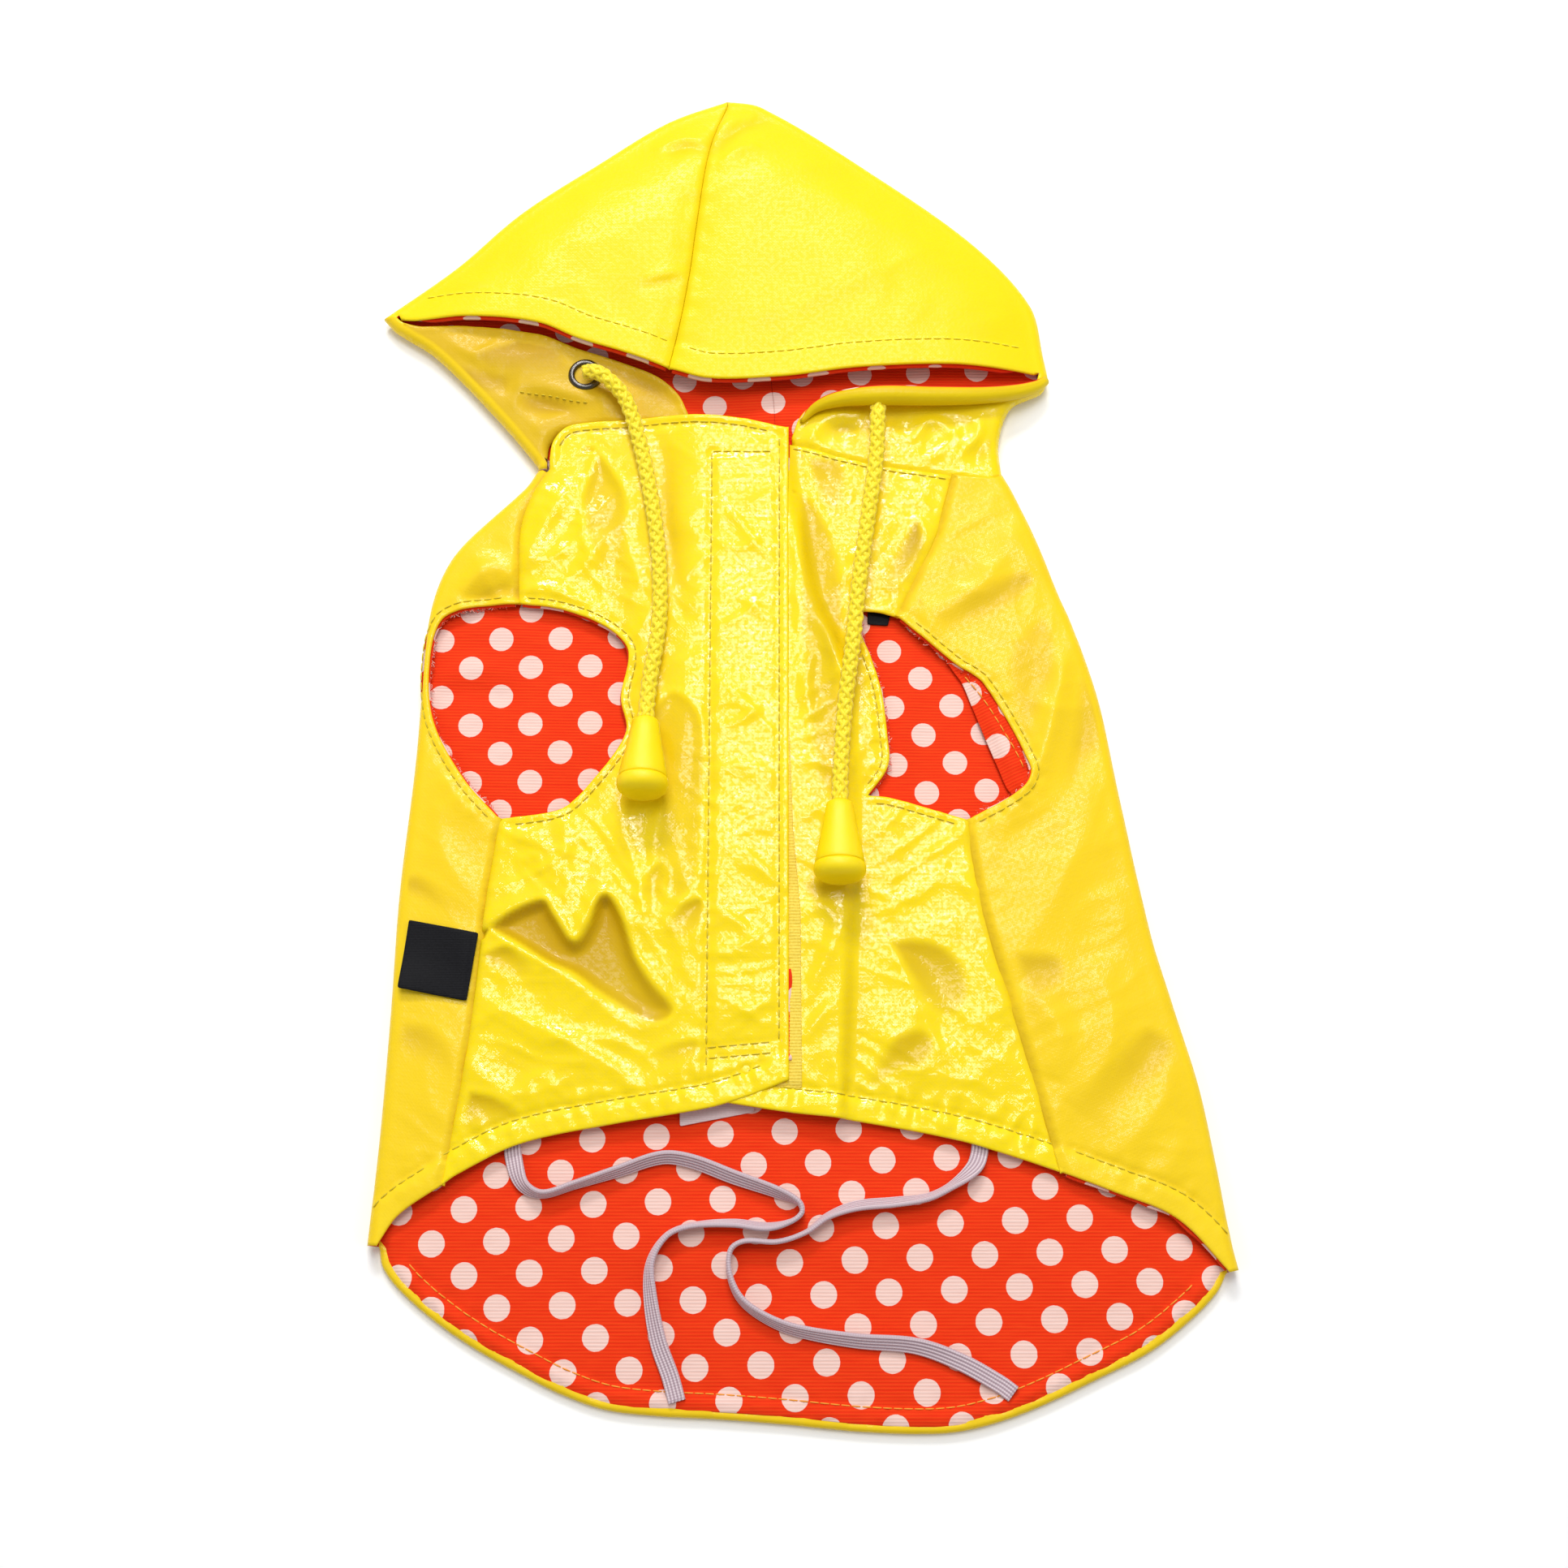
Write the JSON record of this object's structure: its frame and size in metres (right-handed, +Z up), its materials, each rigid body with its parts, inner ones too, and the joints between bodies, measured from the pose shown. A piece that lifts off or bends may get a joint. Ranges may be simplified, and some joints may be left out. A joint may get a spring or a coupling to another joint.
{
  "type": "dog raincoat",
  "caption": "Small dog's hooded raincoat laid flat, belly side up: film-coated yellow cloth, dotted red lining, hook-tape placket, armholes, drawstring ends with stoppers and elastic leg loops.",
  "frame": {"origin": "centre of the bounding box in plan, on the surface that the coat lies on", "axes": "+X across the coat, +Y along the back from tail hem to hood, +Z up from the surface, out of the belly side"},
  "size_m": [0.249, 0.4068, 0.0227],
  "materials": {
    "coated_cloth": "woven polyester with a glossy clear film, golden yellow",
    "hood_cloth": "the same film-coated cloth, lemon yellow, flatter sheen",
    "dotted_lining": "fine ribbed polyester, orange-red with pale dots",
    "cord_yarn": "round polyester braid, yellow",
    "moulded_plastic": "moulded ABS, satin yellow",
    "plated_brass": "dark gunmetal plating, polished",
    "elastic_knit": "knitted ribbed elastic, mauve grey",
    "hook_tape": "woven nylon tape with fine hooks, pale yellow",
    "black_satin": "woven satin ribbon, black, bare",
    "label_ribbon": "woven white label ribbon, bare"
  },
  "bodies": {
    "root": {"armhole_facing": "dotted_lining", "back": "coated_cloth", "back_lining": "dotted_lining", "care_label": "label_ribbon", "cord_left": "cord_yarn", "cord_right": "cord_yarn", "elastic_left": "elastic_knit", "elastic_right": "elastic_knit", "eyelet_left": "plated_brass", "eyelet_right": "plated_brass", "front_left": "coated_cloth", "front_right": "coated_cloth", "hood_left": "hood_cloth", "hood_lining_left": "dotted_lining", "hood_lining_right": "dotted_lining", "hood_right": "hood_cloth", "hook_tape": "hook_tape", "inner_label": "black_satin", "side_tab": "black_satin", "stopper_cap_left": "moulded_plastic", "stopper_cap_right": "moulded_plastic", "stopper_left": "moulded_plastic", "stopper_right": "moulded_plastic"}
  },
  "joints": []
}
